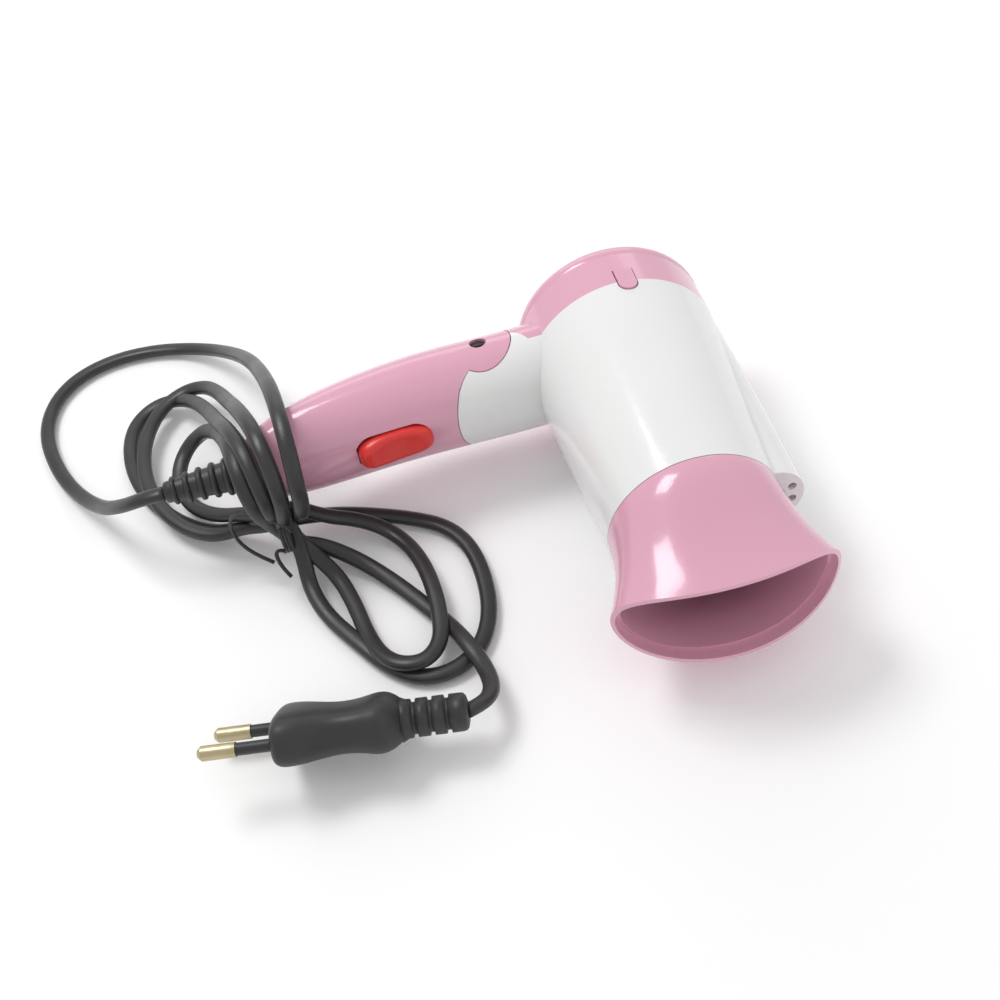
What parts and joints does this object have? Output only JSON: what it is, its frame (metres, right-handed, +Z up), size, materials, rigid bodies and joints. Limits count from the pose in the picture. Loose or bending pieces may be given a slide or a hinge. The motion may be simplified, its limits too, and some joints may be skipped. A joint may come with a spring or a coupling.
{
  "type": "hair dryer",
  "caption": "Folding hair dryer lying on its flank, with a wide flared nozzle, a rocker switch in the handle and its mains cord tied in a hank.",
  "frame": {"origin": "middle of the dryer's own box, on the surface it lies on (the cord, its tie and the plug not counted)", "axes": "+Z up, away from the surface; -Y where the nozzle blows; +X from the handle towards the ridge of the barrel"},
  "size_m": [0.2182, 0.2007, 0.0586],
  "materials": {
    "shell_white": "glossy",
    "cover_pink": "glossy",
    "switch_red": "satin",
    "rubber_black": "matte",
    "cord_grey": "matte",
    "grille_dark": "matte",
    "steel_screw": "satin",
    "brass_pin": "polished",
    "mica_board": "matte",
    "heater_wire": "matte",
    "motor_can": "satin",
    "inner_plastic": "matte",
    "wire_sleeve": "satin"
  },
  "bodies": {
    "barrel": {"body_shell": "shell_white", "rear_cover": "cover_pink", "cover_clips": "cover_pink", "intake_grille": "grille_dark", "lint_screen": "steel_screw", "outlet_grille": "grille_dark", "heater_sleeve": "mica_board", "mica_board_a": "mica_board", "mica_board_b": "mica_board", "heater_coil": "heater_wire", "thermostat": "steel_screw", "thermal_fuse": "steel_screw", "motor_mount": "inner_plastic", "motor": "motor_can", "rectifier_board": "inner_plastic", "diodes": "grille_dark", "neck_leads": "wire_sleeve", "hinge_screws": "steel_screw"},
    "rotor": {"motor_shaft": "steel_screw", "fan": "inner_plastic"},
    "nozzle": {"nozzle": "cover_pink"},
    "handle": {"handle_upper": "cover_pink", "handle_lower": "cover_pink", "handle_screws": "steel_screw", "switch_body": "grille_dark", "handle_leads": "wire_sleeve", "strain_relief": "rubber_black", "inner_cord": "cord_grey", "cord_clamp": "inner_plastic", "clamp_screw": "steel_screw", "cord_lead": "cord_grey", "cord_hank": "cord_grey", "cord_tail": "cord_grey", "cord_tie": "rubber_black", "plug_body": "rubber_black", "plug_pins": "brass_pin", "plug_sleeves": "rubber_black"},
    "rocker": {"switch_rocker": "switch_red"}
  },
  "joints": [
    {"name": "handle_fold", "type": "hinge", "parent": "barrel", "child": "handle", "pos_m": [0.013, 0.0458, 0.0293], "axis": [0, 0, -1], "range_deg": [0, 90]},
    {"name": "nozzle_swivel", "type": "hinge", "parent": "barrel", "child": "nozzle", "pos_m": [0.055, -0.0292, 0.0293], "axis": [0, 1, 0], "continuous": true},
    {"name": "fan_spin", "type": "hinge", "parent": "barrel", "child": "rotor", "pos_m": [0.055, 0.0498, 0.0293], "axis": [0, 1, 0], "continuous": true},
    {"name": "switch_rock", "type": "hinge", "parent": "handle", "child": "rocker", "pos_m": [-0.018, 0.0338, 0.0293], "axis": [0, 0, -1], "range_deg": [0, 14]}
  ]
}
